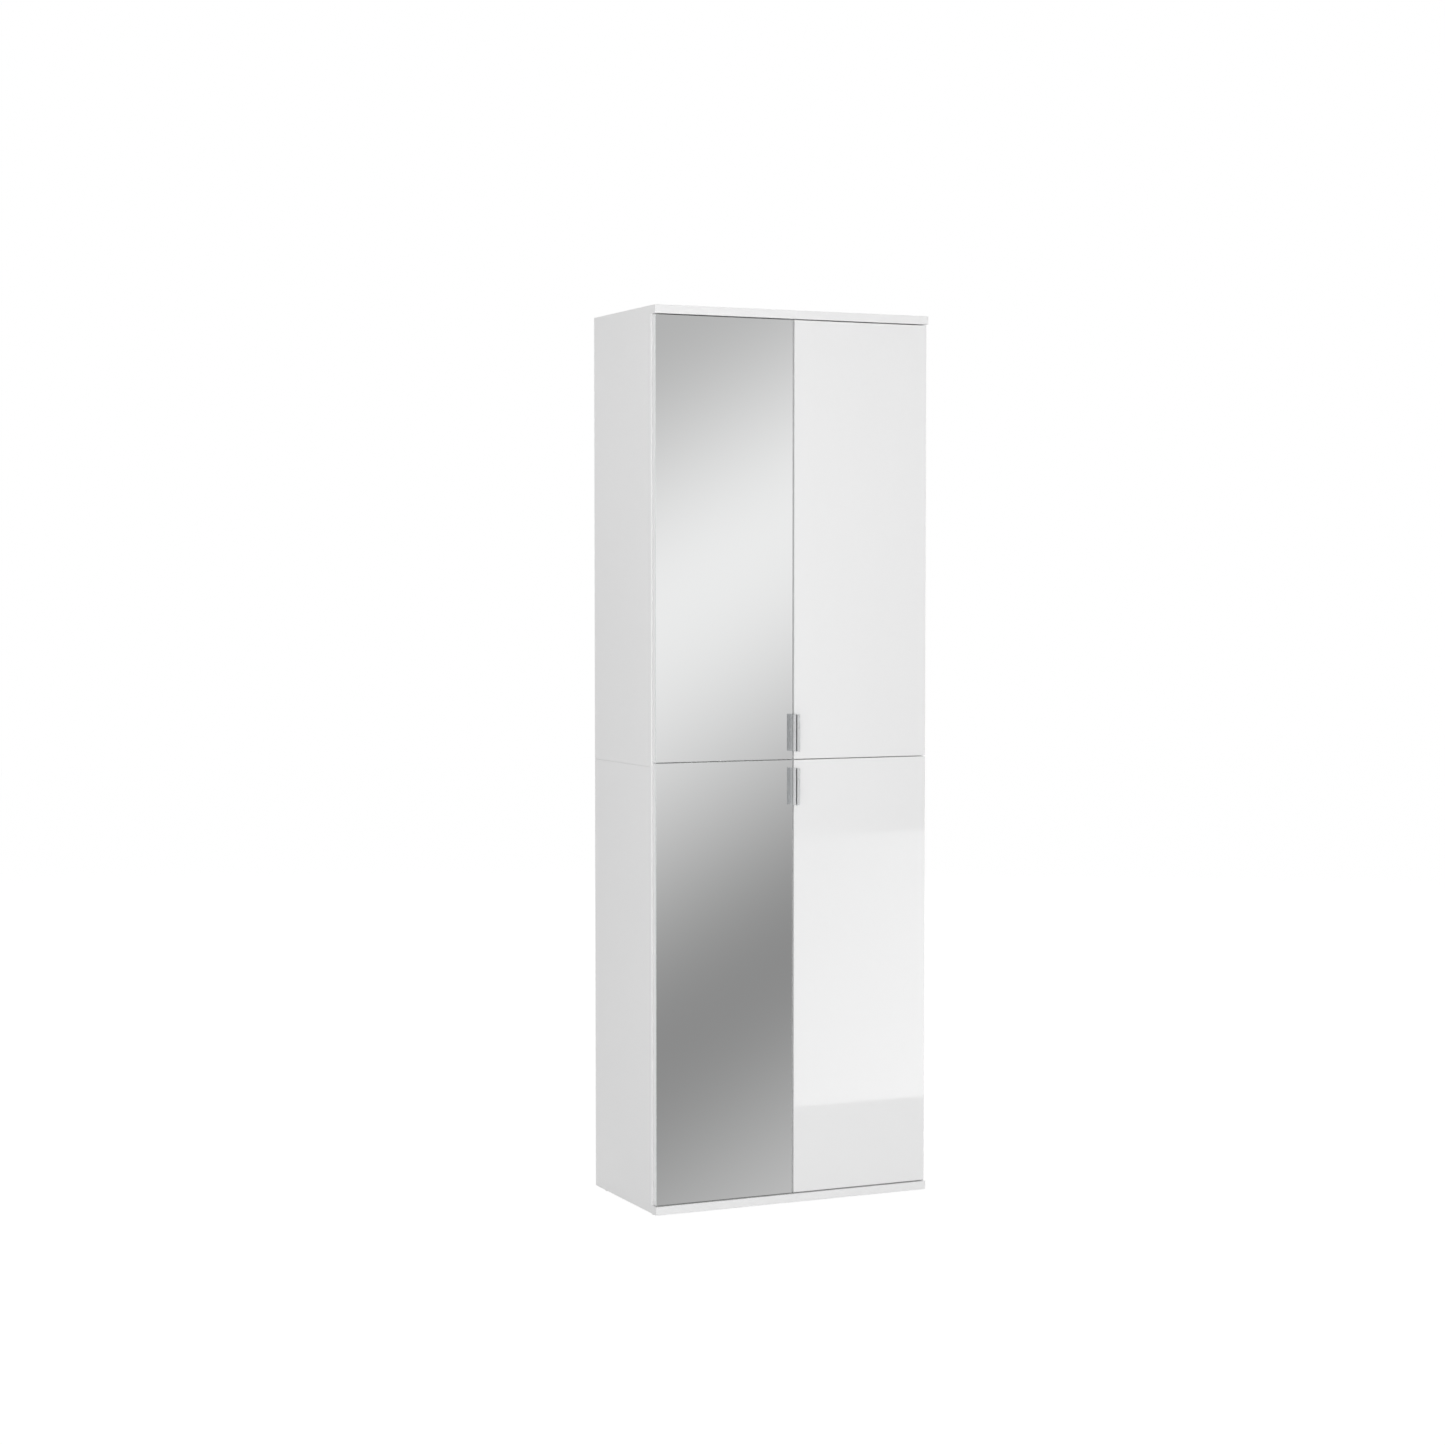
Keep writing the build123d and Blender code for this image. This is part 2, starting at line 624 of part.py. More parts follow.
def edge_pull(level):
    # A bent profile: flange on the door's back, web along its edge, lip turned over in front.
    low, high = pull_span(level)
    tip = door_front - PULL_REACH
    outside = door_free + PULL_T
    section = make_face(Polyline(
        (door_free - PULL_FLANGE, door_back),
        (door_free, door_back),
        (door_free, tip + PULL_T),
        (outside - PULL_LIP, tip + PULL_T),
        (outside - PULL_LIP, tip),
        (outside, tip),
        (outside, door_back + PULL_T),
        (door_free - PULL_FLANGE, door_back + PULL_T),
        close=True,
    ))
    bends = [v for v in section.vertices() if v.X > door_free + PULL_T / 2]
    section = fillet(bends, PULL_BEND_R)
    profile = Pos(0, 0, low) * extrude(section, high - low, dir=UP)
    return profile - [pull_screw(spot, HOLE_FIT) for spot in pull_screw_spots(level)]


def pull_screw(spot, extra=0.0):
    return flush_screw(spot, FRONT, PULL_T, PULL_SCREW_LENGTH, extra)


# Bumpers on the inner sides' front edges
def bumpers(level):
    low, high = DOORS[level]
    pull_low, pull_high = pull_span(level)
    if level == "lower":
        heights = (low + BUMPER_FROM_END, pull_low - BUMPER_PAST_PULL)
    else:
        heights = (pull_high + BUMPER_PAST_PULL, high - BUMPER_FROM_END)
    x = (inner_inside + joint_face) / 2
    length = DOOR_STANDOFF - BUMPER_FIT
    return [rod(BUMPER_R, length, (x, side_front, z), FRONT) for z in heights]


# Collect the pieces by name
parts = {}


def add_both(name, shape):
    parts["left_" + name] = shape
    parts["right_" + name] = mirrored(shape)


def add_group(name, shapes):
    solids = [s for shape in shapes for s in shape.solids()]
    parts[name] = Compound(solids + [mirrored(s) for s in solids])


add_both("top_panel", end_panel("upper"))
add_both("bottom_panel", end_panel("lower"))
add_both("mid_panel", mid_panel())
pegs = []
arms = []
plates = []
screws = []
connectors = []
bumper_set = []
for level in ("lower", "upper"):
    for place in ("outer", "inner"):
        add_both(f"{level}_{place}_side", side_board(place, level))
    add_both(f"{level}_back", back_board(level))
    for tier, underside in shelf_undersides(level).items():
        add_both(f"{level}_shelf_{tier}", shelf(underside))
        pegs += shelf_pegs(underside)
    for height in hinge_heights(level):
        arms.append(at_hinge(height) * hinge_arm())
        plates.append(at_hinge(height) * hinge_plate())
        screws += [at_hinge(height) * screw(seat, LEFT) for seat in plate_screw_seats()]
        screws += [at_hinge(height) * arm_screw(seat) for seat in arm_screw_seats()]
    for height in connector_heights(level):
        for y in connector_rows:
            sleeve = rod(CONNECTOR_R, SIDE_T, (inner_inside, y, height), RIGHT)
            head = rod(CONNECTOR_HEAD_R, CONNECTOR_HEAD_H, (inner_inside, y, height), LEFT)
            connectors.append(sleeve + head)
    bumper_set += bumpers(level)

# Doors and what rides on them
for level in ("lower", "upper"):
    left = f"{level}_left"
    right = f"{level}_right"
    parts[f"{left}_door"] = door_board(level, DOOR_T - MIRROR_T)
    parts[f"{left}_mirror"] = mirror_pane(level)
    parts[f"{right}_door"] = mirrored(door_board(level, DOOR_T))
    cups = Compound([s for z in hinge_heights(level) for s in (at_hinge(z) * hinge_cup()).solids()])
    pins = Compound([s for z in hinge_heights(level) for s in (at_hinge(z) * hinge_pin()).solids()])
    pull_screws = Compound([s for spot in pull_screw_spots(level) for s in pull_screw(spot).solids()])
    riders = {"pull": edge_pull(level), "hinge_cups": cups, "hinge_pins": pins, "pull_screws": pull_screws}
    for name, shape in riders.items():
        parts[f"{left}_{name}"] = shape
        parts[f"{right}_{name}"] = mirrored(shape)

# Fittings between the boards
cams = []
bolts = []
dowels = []
brackets = []
for place in ("outer", "inner"):
    x0, x1, face, into = side_faces(place)
    out = tuple(-d for d in into)
    middle = (x0 + x1) / 2
    for y in cam_rows:
        for end, to_cam in ((bottom_top, UP), (top_under, DOWN)):
            to_panel = tuple(-d for d in to_cam)
            mouth = (middle, y, end)
            cams.append(cam_lock((face, y, shifted(mouth, to_cam, CAM_BACKSET)[2]), into, to_panel, SIDE_T))
            bolts.append(cam_bolt(mouth, to_cam))
        cams.append(cam_lock(shifted((face, y, seam), out, CAM_BACKSET), UP, into, PANEL_T))
        bolts.append(cam_bolt((face, y, mid_centre), out))
    for end, to_panel in ((bottom_top, DOWN), (top_under, UP)):
        dowels.append(dowel((middle, side_middle, end), to_panel, DOWEL_IN_FACE))
    dowels.append(dowel((face, side_middle, mid_centre), into, DOWEL_IN_FACE))
    for y in seam_dowel_rows:
        dowels.append(dowel((middle, y, seam), UP, DOWEL_LENGTH / 2))
    for y in bracket_rows:
        brackets.append(seam_bracket(place, y))
        seats = bracket_seats(place, y)
        screws += [screw(seats["side"], into), screw(seats["panel"], UP)]
screws += [screw(seat, UP) for seat in wall_bracket_screw_seats()]

add_group("hinge_arms", arms)
add_group("hinge_plates", plates)
add_group("panel_screws", screws)
add_group("shelf_pegs", pegs)
add_group("cam_locks", cams)
add_group("cam_bolts", bolts)
add_group("dowels", dowels)
add_group("seam_brackets", brackets)
add_group("wall_brackets", [wall_bracket()])
add_group("floor_glides", [floor_glide(spot) for spot in glide_spots()])
add_group("door_bumpers", bumper_set)

# A connector runs through both columns, so its two halves are one piece
parts["column_connectors"] = Compound([s for c in connectors for s in (c + mirrored(c)).solids()])

os.makedirs("parts", exist_ok=True)
for name, shape in parts.items():
    export_step(shape, f"parts/{name}.step")
print(len(parts), "pieces written")
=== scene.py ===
# %% [markdown]
# # A white armoire with mirror doors
# The real cabinet is two narrow columns of white board that stand side by side. The left column has
# mirror doors and the right one has high-gloss white doors, each with a short metal pull on its centre
# edge. The boards, hinges and fittings come from the CAD model, in metres, with their true sizes. This
# lesson gives them their finishes, adds the small details that are too fine for the CAD, and sets up a
# plain studio.

# %% Load the cabinet
import json
from math import acos, degrees, radians

import bmesh
import bpy
from mathutils import Matrix, Vector


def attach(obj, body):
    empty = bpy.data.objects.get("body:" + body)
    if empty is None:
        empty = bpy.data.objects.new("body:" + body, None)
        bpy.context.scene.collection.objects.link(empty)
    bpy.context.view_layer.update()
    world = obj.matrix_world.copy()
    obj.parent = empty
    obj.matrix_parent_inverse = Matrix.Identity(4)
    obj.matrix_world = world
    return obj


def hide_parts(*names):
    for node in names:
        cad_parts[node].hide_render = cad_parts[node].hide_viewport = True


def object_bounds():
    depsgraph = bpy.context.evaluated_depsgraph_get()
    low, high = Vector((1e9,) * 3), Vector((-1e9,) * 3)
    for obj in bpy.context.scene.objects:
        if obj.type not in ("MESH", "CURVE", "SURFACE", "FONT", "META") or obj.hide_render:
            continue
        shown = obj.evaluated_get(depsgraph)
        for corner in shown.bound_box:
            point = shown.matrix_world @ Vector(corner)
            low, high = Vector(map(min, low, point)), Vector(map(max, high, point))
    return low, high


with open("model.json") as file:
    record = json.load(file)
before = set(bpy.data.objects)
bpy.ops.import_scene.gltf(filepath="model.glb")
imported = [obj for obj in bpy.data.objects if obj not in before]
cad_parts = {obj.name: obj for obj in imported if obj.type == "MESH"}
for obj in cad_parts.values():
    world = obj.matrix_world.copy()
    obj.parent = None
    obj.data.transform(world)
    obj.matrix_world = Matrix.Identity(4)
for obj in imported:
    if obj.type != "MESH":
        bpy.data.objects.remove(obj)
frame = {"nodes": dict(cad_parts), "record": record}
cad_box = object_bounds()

parts = frame["nodes"]
low_corner, high_corner = ([round(v, 4) for v in corner] for corner in cad_box)
print(len(parts), "CAD pieces in a box from", low_corner, "to", high_corner)

# %% [markdown]
# ## The camera
# The photograph was taken from the left, a little above the middle of the cabinet. Six corners of the
# top and bottom boards fix the camera: its place, its turn to the right and its small tilt downwards. A
# long lens from six metres keeps the upright edges almost parallel, so the camera needs no shift.

# %% Put the camera where the photograph was taken
LENS_MM = 70.93
SENSOR_MM = 36.0
CAMERA_PLACE = (-2.690, -5.67595, 1.341)
DEGREES_DOWN = 2.75
DEGREES_RIGHT = 24.57


def put_in_scene(name, data):
    """Make an object of a mesh, a lamp or a lens, and add it to the scene."""
    thing = bpy.data.objects.new(name, data)
    bpy.context.scene.collection.objects.link(thing)
    return thing


lens = bpy.data.cameras.new("photo_camera")
lens.lens = LENS_MM
lens.sensor_width = SENSOR_MM
camera = put_in_scene("photo_camera", lens)
camera.location = CAMERA_PLACE
camera.rotation_euler = (radians(90 - DEGREES_DOWN), 0.0, radians(-DEGREES_RIGHT))
bpy.context.scene.camera = camera
print("camera at", CAMERA_PLACE, "with a lens of", LENS_MM, "mm")

# %% [markdown]
# ## Helpers for the finishes
# Each finish is a Principled shader with a few procedural textures. They all read Object coordinates: a
# CAD piece sits at the origin, so one unit of texture is one metre on the cabinet, and the texture
# travels with a door when it opens. These helpers keep the finishes below short.

# %% Start a finish and read places on a piece
EVEN = (1, 1, 1)


def start_finish(name):
    """A new material, its node tree and its main shader."""
    finish = bpy.data.materials.new(name)
    finish.use_nodes = True
    tree = finish.node_tree
    return finish, tree, tree.nodes["Principled BSDF"]


def add_node(tree, kind, **settings):
    node = tree.nodes.new(kind)
    for name, value in settings.items():
        setattr(node, name, value)
    return node


def place_on_piece(tree, stretch):
    """The place in metres, times a factor for each direction: a small factor draws a texture out."""
    where = add_node(tree, "ShaderNodeTexCoord")
    mapping = add_node(tree, "ShaderNodeMapping")
    mapping.inputs["Scale"].default_value = stretch
    tree.links.new(where.outputs["Object"], mapping.inputs["Vector"])
    return mapping.outputs["Vector"]


print("finishes start from a Principled shader")

# %% Noise, soft and with more contrast
# Most of a noise texture lies between these two values.
NOISE_LOW = 0.3
NOISE_HIGH = 0.7


def cloud(tree, per_metre, detail=2.0, stretch=EVEN):
    noise = add_node(tree, "ShaderNodeTexNoise")
    noise.inputs["Scale"].default_value = per_metre
    noise.inputs["Detail"].default_value = detail
    tree.links.new(place_on_piece(tree, stretch), noise.inputs["Vector"])
    return noise.outputs["Fac"]


def between(tree, amount, low, high):
    """Spread a noise over the range from low to high."""
    spread = add_node(tree, "ShaderNodeMapRange")
    spread.inputs["From Min"].default_value = NOISE_LOW
    spread.inputs["From Max"].default_value = NOISE_HIGH
    spread.inputs["To Min"].default_value = low
    spread.inputs["To Max"].default_value = high
    tree.links.new(amount, spread.inputs["Value"])
    return spread.outputs["Result"]


def flecks(tree, per_metre, detail, stretch=EVEN):
    """A cloud with its contrast raised, for chips, fibres and grain."""
    return between(tree, cloud(tree, per_metre, detail, stretch), 0.0, 1.0)


print("noise is spread from", NOISE_LOW, "to", NOISE_HIGH)

# %% Mixes, and links to the shader
def mix_colours(tree, amount, first, second):
    mix = add_node(tree, "ShaderNodeMix", data_type="RGBA")
    for socket, colour in (("A_Color", first), ("B_Color", second)):
        target = next(s for s in mix.inputs if s.identifier == socket)
        if isinstance(colour, tuple):
            target.default_value = (*colour, 1.0)
        else:
            tree.links.new(colour, target)
    tree.links.new(amount, mix.inputs["Factor"])
    return next(s for s in mix.outputs if s.identifier == "Result_Color")


def mix_values(tree, amount, first, second):
    mix = add_node(tree, "ShaderNodeMix", data_type="FLOAT")
    for socket, value in (("A_Float", first), ("B_Float", second)):
        target = next(s for s in mix.inputs if s.identifier == socket)
        if isinstance(value, float):
            target.default_value = value
        else:
            tree.links.new(value, target)
    tree.links.new(amount, mix.inputs["Factor"])
    return mix.outputs["Result"]


def coat(tree, shader, colour, roughness):
    tree.links.new(colour, shader.inputs["Base Color"])
    tree.links.new(roughness, shader.inputs["Roughness"])


def bump(tree, shader, height, depth):
    relief = add_node(tree, "ShaderNodeBump")
    relief.inputs["Strength"].default_value = 1.0
    relief.inputs["Distance"].default_value = depth
    tree.links.new(height, relief.inputs["Height"])
    tree.links.new(relief.outputs["Normal"], shader.inputs["Normal"])


print("finishes mix colours and roughness, and take a bump")

# %% Pick out the faces that look one way
# A face counts when the cosine of its angle to the axis is larger than this.
FACING = 0.9


def faces_towards(tree, axis, sign):
    """1 on the faces whose outward direction, in the piece's own frame, lies along that axis."""
    where = add_node(tree, "ShaderNodeTexCoord")
    split = add_node(tree, "ShaderNodeSeparateXYZ")
    tree.links.new(where.outputs["Normal"], split.inputs["Vector"])
    turned = add_node(tree, "ShaderNodeMath", operation="MULTIPLY")
    turned.inputs[1].default_value = sign
    tree.links.new(split.outputs[axis], turned.inputs[0])
    near = add_node(tree, "ShaderNodeMath", operation="GREATER_THAN")
    near.inputs[1].default_value = FACING
    tree.links.new(turned.outputs["Value"], near.inputs[0])
    return near.outputs["Value"]


print("a face is picked within", round(degrees(acos(FACING))), "degrees of an axis")

# %% [markdown]
# ## White board
# The carcass is particle board with a white melamine skin and white edge bands. The skin has a very
# fine pearl grain that breaks up reflections, and its white drifts slowly along a board. The rear edges
# face the wall and are left bare on such furniture, so the wood chips show there. One finish does it
# all: the direction of a face tells the skin from the bare rear edge.

# %% White melamine board, bare chips on its rear edges
MICRON = 0.000001
WHITE_LIGHT = (0.845, 0.845, 0.845)
WHITE_DEEP = (0.825, 0.826, 0.828)
SATIN = (0.36, 0.46)
PEARL_DEPTH = 20 * MICRON
CHIP_PALE = (0.60, 0.46, 0.31)
CHIP_DARK = (0.36, 0.25, 0.15)
CHIP_STRETCH = (1, 1, 0.4)
CHIP_ROUGHNESS = 0.85


def satin_roughness(tree):
    return between(tree, cloud(tree, per_metre=700.0), *SATIN)


def wood_chips(tree):
    return mix_colours(tree, flecks(tree, 520.0, detail=6.0, stretch=CHIP_STRETCH), CHIP_DARK, CHIP_PALE)


def white_skin(tree, shader, bare=None):
    """White melamine, with chips where bare is 1."""
    colour = mix_colours(tree, cloud(tree, per_metre=3.0), WHITE_DEEP, WHITE_LIGHT)
    roughness = satin_roughness(tree)
    if bare is not None:
        colour = mix_colours(tree, bare, colour, wood_chips(tree))
        roughness = mix_values(tree, bare, roughness, CHIP_ROUGHNESS)
    coat(tree, shader, colour, roughness)
    bump(tree, shader, cloud(tree, per_metre=1500.0, detail=3.0), PEARL_DEPTH)


white_board, tree, shader = start_finish("white_melamine_board")
white_skin(tree, shader, faces_towards(tree, "Y", 1))
door_board, tree, shader = start_finish("white_melamine_door")
white_skin(tree, shader)
print("made", white_board.name, "and", door_board.name)

# %% [markdown]
# ## High-gloss doors
# The right doors have a smooth lacquer-like film on the front, polished white bands on the upright
# edges and the satin of plain melamine on the back. The bands are painted lighter than the film: partly
# the polished band itself, partly painted light that lifts the shade in the narrow gaps between the
# doors. On the real door a lamp shows with sharp edges in the film. The shader's own reflection does
# that when the roughness is low. A slow, very shallow wave keeps the film from being a perfect plane.

# %% Gloss white door
FILM_DEEP = (0.828, 0.829, 0.831)
FILM_LIGHT = (0.838, 0.838, 0.838)
# Upright edge colour, lighter than the film: partly a polished edge band, partly painted light that
# lifts the shade in the gaps between the doors.
PAINTED_LIGHT_BAND_DEEP = (0.895, 0.897, 0.90)
PAINTED_LIGHT_BAND_PALE = (0.915, 0.915, 0.915)
FILM_ROUGHNESS = (0.02, 0.035)
FILM_WAVE = 3 * MICRON

gloss_white, tree, shader = start_finish("gloss_white_door")
film = mix_colours(tree, cloud(tree, per_metre=2.0), FILM_DEEP, FILM_LIGHT)
edge_band_and_painted_light = mix_colours(tree, cloud(tree, per_metre=30.0), PAINTED_LIGHT_BAND_DEEP, PAINTED_LIGHT_BAND_PALE)
upright_edges = add_node(tree, "ShaderNodeMath", operation="ADD", use_clamp=True)
tree.links.new(faces_towards(tree, "X", -1), upright_edges.inputs[0])
tree.links.new(faces_towards(tree, "X", 1), upright_edges.inputs[1])
# Painted light: the upright edges take the lighter band colour, which brightens the shaded gaps between
# the doors.
gloss_colour = mix_colours(tree, upright_edges.outputs["Value"], film, edge_band_and_painted_light)
gloss_roughness = between(tree, cloud(tree, per_metre=25.0), *FILM_ROUGHNESS)
door_back = faces_towards(tree, "Y", 1)
coat(tree, shader, gloss_colour, mix_values(tree, door_back, gloss_roughness, satin_roughness(tree)))
bump(tree, shader, cloud(tree, per_metre=30.0, detail=1.0), FILM_WAVE)
print("made", gloss_white.name)

# %% [markdown]
# ## Mirrors
# A mirror is float glass with silver behind it. Seen from the front it is almost pure reflection, so
# the front is a polished metal that gives back most of the light. At the ground edges there is no
# silver in the way, and the body of the glass shows as a grey green.

# %% Mirror glass
SILVER_DEEP = (0.925, 0.93, 0.93)
SILVER_LIGHT = (0.935, 0.94, 0.94)
GLASS_DEEP = (0.64, 0.68, 0.66)
GLASS_LIGHT = (0.72, 0.75, 0.74)
SILVER_ROUGHNESS = (0.0, 0.012)
GROUND_EDGE_ROUGHNESS = 0.25

mirror_glass, tree, shader = start_finish("mirror_glass")
silver = faces_towards(tree, "Y", -1)
silver_tone = mix_colours(tree, cloud(tree, per_metre=4.0), SILVER_DEEP, SILVER_LIGHT)
glass_edge = mix_colours(tree, cloud(tree, per_metre=60.0), GLASS_DEEP, GLASS_LIGHT)
mirror_colour = mix_colours(tree, silver, glass_edge, silver_tone)
polish = between(tree, cloud(tree, per_metre=18.0, detail=4.0), *SILVER_ROUGHNESS)
coat(tree, shader, mirror_colour, mix_values(tree, silver, GROUND_EDGE_ROUGHNESS, polish))
tree.links.new(silver, shader.inputs["Metallic"])
print("made", mirror_glass.name)

# %% [markdown]
# ## Backs
# The backs are thin hardboard: a white lacquered side towards the shelves, and the bare brown fibre
# towards the wall. The fibre is a fine felt of short threads, so its texture is a dense noise with
# small dark flecks.

# %% Hardboard back
LACQUER_DEEP = (0.80, 0.80, 0.795)
LACQUER_LIGHT = (0.83, 0.83, 0.828)
FIBRE_DARK = (0.27, 0.175, 0.10)
FIBRE_PALE = (0.42, 0.29, 0.175)
LACQUER_ROUGHNESS = 0.5
FIBRE_ROUGHNESS = 0.8
FELT_DEPTH = 60 * MICRON

hardboard, tree, shader = start_finish("hardboard_back")
wall_side = faces_towards(tree, "Y", 1)
lacquer = mix_colours(tree, cloud(tree, per_metre=40.0, detail=4.0), LACQUER_DEEP, LACQUER_LIGHT)
fibre = mix_colours(tree, flecks(tree, per_metre=450.0, detail=6.0), FIBRE_DARK, FIBRE_PALE)
back_colour = mix_colours(tree, wall_side, lacquer, fibre)
coat(tree, shader, back_colour, mix_values(tree, wall_side, LACQUER_ROUGHNESS, FIBRE_ROUGHNESS))
bump(tree, shader, cloud(tree, per_metre=900.0, detail=4.0), FELT_DEPTH)
print("made", hardboard.name)

# %% [markdown]
# ## Metals
# The pulls are brushed aluminium, drawn lengthwise, so their scratches run up and down. The hinges are
# nickel plated, which is warmer and smoother. Screws, pegs and brackets are zinc plated, and the cams
# are tumbled castings. They differ in colour, in roughness and in the stretch of one noise, so one
# function makes them all.

# %% One function for all the metals
def metal(name, dark, light, roughness, per_metre, depth, stretch=EVEN, brushed=0.0):
    finish, tree, shader = start_finish(name)
    streaks = cloud(tree, per_metre, detail=3.0, stretch=stretch)
    coat(tree, shader, mix_colours(tree, streaks, dark, light), between(tree, streaks, *roughness))
    shader.inputs["Metallic"].default_value = 1.0
    shader.inputs["Anisotropic"].default_value = brushed
    bump(tree, shader, streaks, depth)
    print("made", name)
    return finish


# %% Brushed pulls, nickel hinges and steel pins
UP_AND_DOWN = (1, 1, 0.02)
pull_metal = metal(
    "brushed_pull", dark=(0.84, 0.85, 0.86), light=(0.91, 0.92, 0.93), roughness=(0.22, 0.32),
    per_metre=2600.0, depth=4 * MICRON, stretch=UP_AND_DOWN, brushed=0.5,
)
hinge_nickel = metal(
    "hinge_nickel", dark=(0.66, 0.645, 0.62), light=(0.71, 0.695, 0.67), roughness=(0.20, 0.27),
    per_metre=1100.0, depth=2 * MICRON,
)
pin_steel = metal(
    "pin_steel", dark=(0.55, 0.55, 0.56), light=(0.63, 0.63, 0.64), roughness=(0.18, 0.28),
    per_metre=800.0, depth=3 * MICRON,
)

# %% Zinc on screws, plates and cams
screw_zinc = metal(
    "screw_zinc", dark=(0.60, 0.62, 0.66), light=(0.72, 0.73, 0.75), roughness=(0.26, 0.40),
    per_metre=500.0, depth=6 * MICRON,
)
plate_zinc = metal(
    "plate_zinc", dark=(0.62, 0.63, 0.655), light=(0.70, 0.71, 0.73), roughness=(0.30, 0.40),
    per_metre=420.0, depth=4 * MICRON,
)
cam_zinc = metal(
    "cam_zinc", dark=(0.48, 0.48, 0.50), light=(0.60, 0.60, 0.62), roughness=(0.40, 0.58),
    per_metre=420.0, depth=20 * MICRON,
)

# %% [markdown]
# ## Wood, plastic and rubber
# Dowels are raw beech with small brown flecks along the grain. The glides under the cabinet are white
# plastic, slightly scuffed. The door bumpers are soft frosted drops, so some light passes through them.
# In each of them one noise moves the colour together with the roughness or the relief, as on a grown or
# worn surface.

# %% Beech dowels
BEECH_FLECK = (0.50, 0.34, 0.21)
BEECH_PALE = (0.66, 0.50, 0.34)
GRAIN_STRETCH = (1, 1, 0.15)
GRAIN_DEPTH = 30 * MICRON

beech, tree, shader = start_finish("raw_beech")
grain = flecks(tree, per_metre=900.0, detail=3.0, stretch=GRAIN_STRETCH)
tree.links.new(mix_colours(tree, grain, BEECH_FLECK, BEECH_PALE), shader.inputs["Base Color"])
shader.inputs["Roughness"].default_value = 0.75
bump(tree, shader, grain, GRAIN_DEPTH)
print("made", beech.name)

# %% Scuffed plastic glides
PLASTIC_DEEP = (0.70, 0.70, 0.69)
PLASTIC_LIGHT = (0.80, 0.80, 0.79)
PLASTIC_ROUGHNESS = (0.4, 0.6)

glide_plastic, tree, shader = start_finish("glide_plastic")
scuffs = cloud(tree, per_metre=260.0, detail=5.0)
plastic_colour = mix_colours(tree, scuffs, PLASTIC_DEEP, PLASTIC_LIGHT)
coat(tree, shader, plastic_colour, between(tree, scuffs, *PLASTIC_ROUGHNESS))
print("made", glide_plastic.name)

# %% Frosted bumpers
FROST_DEEP = (0.78, 0.80, 0.80)
FROST_LIGHT = (0.86, 0.88, 0.88)
FROST_ROUGHNESS = (0.2, 0.3)

clear_bumper, tree, shader = start_finish("clear_bumper")
haze = cloud(tree, per_metre=500.0)
frost_colour = mix_colours(tree, haze, FROST_DEEP, FROST_LIGHT)
coat(tree, shader, frost_colour, between(tree, haze, *FROST_ROUGHNESS))
shader.inputs["Transmission Weight"].default_value = 0.25
shader.inputs["IOR"].default_value = 1.48
print("made", clear_bumper.name)

# %% [markdown]
# ## Give every piece its finish
# The record that came with the CAD model names a material slot for each piece. The finishes are filed
# under the same names, so one loop dresses the whole cabinet. Only the mirror doors' boards differ:
# they have no bare edge.

# %% Dress the CAD pieces
finish_of_slot = {
    "white_board": white_board,
    "gloss_white": gloss_white,
    "mirror": mirror_glass,
    "hardboard": hardboard,
    "pull_metal": pull_metal,
    "hinge_nickel": hinge_nickel,
    "pin_steel": pin_steel,
    "screw_steel": screw_zinc,
    "plated_steel": plate_zinc,
    "zinc": cam_zinc,
    "beech": beech,
    "white_plastic": glide_plastic,
    "clear_rubber": clear_bumper,
}
slot_of = {entry["node"]: entry["material_slot"] for entry in frame["record"]["subparts"]}
for node, slot_name in slot_of.items():
    finish = door_board if node.endswith("_left_door") else finish_of_slot[slot_name]
    for slot in parts[node].material_slots:
        slot.material = finish
print("dressed", len(slot_of), "pieces")

# %% [markdown]
# ## Cross recesses
# Cams, screws and connectors are turned with a cross-head driver, and on the real ones the cross is
# pressed into the head. It could be painted into the finish, but a cut takes light and shade by itself.
# So each group of fasteners is copied, a small tapered cross is put into every head, and one Boolean
# takes them all out. The copy then stands for the CAD piece and moves with the same body.

# %% Take a group of fasteners apart
def welded(mesh):
    shell = bmesh.new()
    shell.from_mesh(mesh)
    bmesh.ops.remove_doubles(shell, verts=shell.verts, dist=MICRON)
    return shell


def separate_solids(shell):
    """The points of each solid, found by walking along the edges from point to point."""
    seen = set()
    for start in shell.verts:
        if start in seen:
            continue
        seen.add(start)
        solid = [start]
        for vert in solid:
            for edge in vert.link_edges:
                neighbour = edge.other_vert(vert)
                if neighbour not in seen:
                    seen.add(neighbour)
                    solid.append(neighbour)
        yield [vert.co.copy() for vert in solid]


cams = welded(parts["cam_locks"].data)
print("cam_locks holds", len(list(separate_solids(cams))), "solids")
cams.free()

# %% Find the heads
# How close to the end of a solid a point counts as on it, and how much of the full radius makes a head.
END_REACH = 0.0001
HEAD_SHARE = 0.95


def widest_ends(points):
    """The middle, direction and radius of each end that is as wide as the solid."""
    # A turned solid has its axis along the side of its box that differs from the other two.
    low = Vector(map(min, zip(*points)))
    high = Vector(map(max, zip(*points)))
    middle = (low + high) / 2
    size = high - low
    axis = max(range(3), key=lambda i: abs(size[i] - size[i - 1]) + abs(size[i] - size[i - 2]))
    radius = max(size[axis - 1], size[axis - 2]) / 2
    for sign, end in ((-1, low), (1, high)):
        centre = middle.copy()
        centre[axis] = end[axis]
        outward = Vector((0, 0, 0))
        outward[axis] = sign
        on_end = [p for p in points if abs(p[axis] - end[axis]) < END_REACH]
        if max((p - centre).length for p in on_end) > HEAD_SHARE * radius:
            yield centre, outward, radius


print("a head is an end at least", HEAD_SHARE, "times as wide as its solid")

# %% A tapered cross for every head
# Shares of the head's radius, and the size of the cross at its bottom as a share of its size at the top.
CROSS_REACH = 0.42
CROSS_HALF_WIDTH = 0.11
CROSS_DEPTH = 0.35
CROSS_TAPER = 0.45
# The cutter starts this far outside the head, so that it breaks the surface cleanly.
CROSS_START = 0.00005


